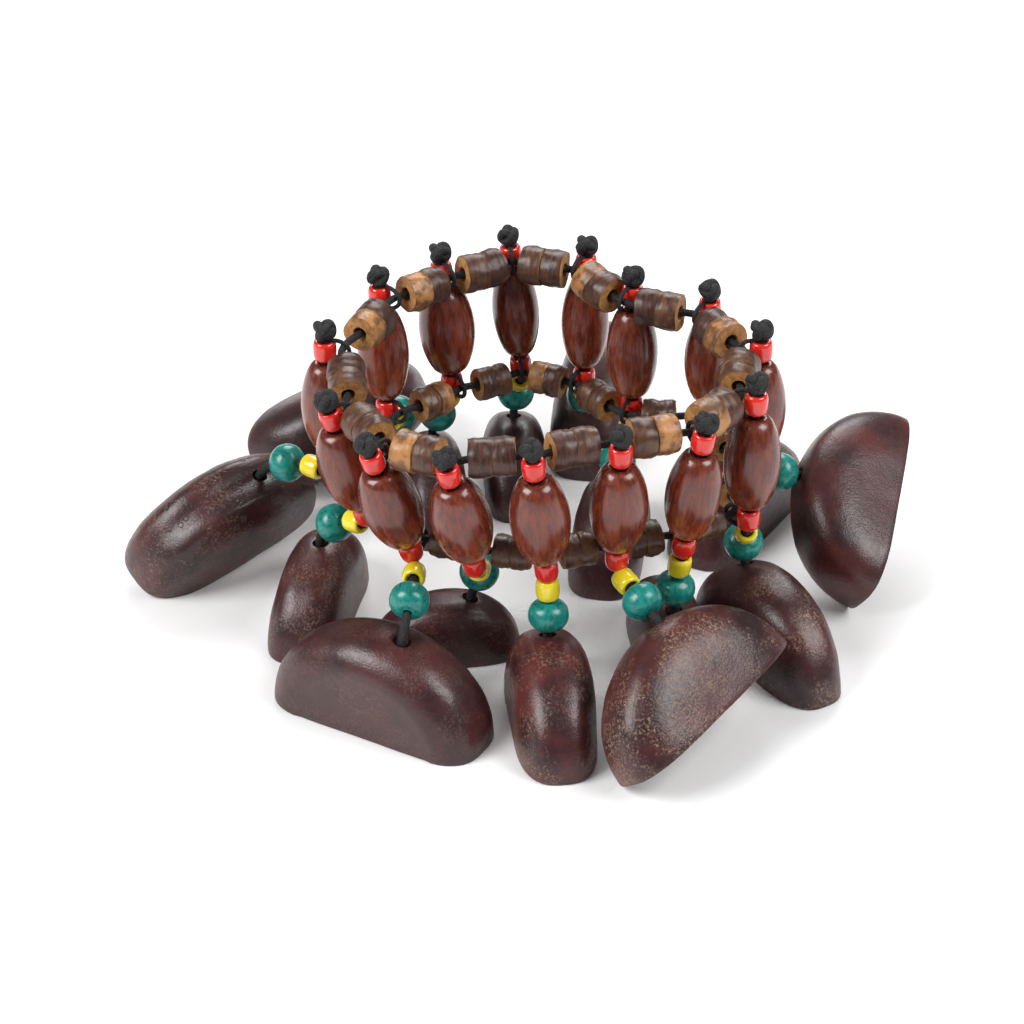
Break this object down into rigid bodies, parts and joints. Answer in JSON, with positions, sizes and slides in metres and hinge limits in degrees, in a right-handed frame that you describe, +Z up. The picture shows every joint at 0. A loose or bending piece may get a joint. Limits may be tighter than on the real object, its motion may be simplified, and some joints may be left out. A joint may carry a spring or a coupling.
{
  "type": "nutshell shaker bracelet",
  "caption": "Wrist shaker: two elastic rings of coconut-shell beads joined by upright oval wood beads, with hollow nutshell halves hung below that rattle when shaken.",
  "frame": {"origin": "middle of the whole object's box at the table it rests on", "axes": "+Z up through the wrist opening, +X along the longest side, +Y away from the picture's camera"},
  "size_m": [0.1506, 0.1444, 0.0605],
  "materials": {
    "nutshell": "smooth dark maroon-brown nutshell, satin, with dusty speckles",
    "oval_wood": "red-brown stained and lacquered wood with fine lengthwise grain",
    "coconut_shell": "turned coconut shell, dark bark sides and tan cut faces",
    "bead_cord": "black waxed cord with red, yellow and teal beads"
  },
  "bodies": {
    "root": {"upper_bead_ring": "coconut_shell", "lower_bead_ring": "coconut_shell", "nutshell_01": "nutshell", "nutshell_02": "nutshell", "nutshell_03": "nutshell", "nutshell_04": "nutshell", "nutshell_05": "nutshell", "nutshell_06": "nutshell", "nutshell_07": "nutshell", "nutshell_08": "nutshell", "nutshell_09": "nutshell", "nutshell_10": "nutshell", "nutshell_11": "nutshell", "nutshell_12": "nutshell", "nutshell_13": "nutshell", "nutshell_14": "nutshell", "nutshell_15": "nutshell", "oval_bead_01": "oval_wood", "oval_bead_02": "oval_wood", "oval_bead_03": "oval_wood", "oval_bead_04": "oval_wood", "oval_bead_05": "oval_wood", "oval_bead_06": "oval_wood", "oval_bead_07": "oval_wood", "oval_bead_08": "oval_wood", "oval_bead_09": "oval_wood", "oval_bead_10": "oval_wood", "oval_bead_11": "oval_wood", "oval_bead_12": "oval_wood", "oval_bead_13": "oval_wood", "oval_bead_14": "oval_wood", "oval_bead_15": "oval_wood", "drop_cord_01": "bead_cord", "drop_cord_02": "bead_cord", "drop_cord_03": "bead_cord", "drop_cord_04": "bead_cord", "drop_cord_05": "bead_cord", "drop_cord_06": "bead_cord", "drop_cord_07": "bead_cord", "drop_cord_08": "bead_cord", "drop_cord_09": "bead_cord", "drop_cord_10": "bead_cord", "drop_cord_11": "bead_cord", "drop_cord_12": "bead_cord", "drop_cord_13": "bead_cord", "drop_cord_14": "bead_cord", "drop_cord_15": "bead_cord"}
  },
  "joints": []
}
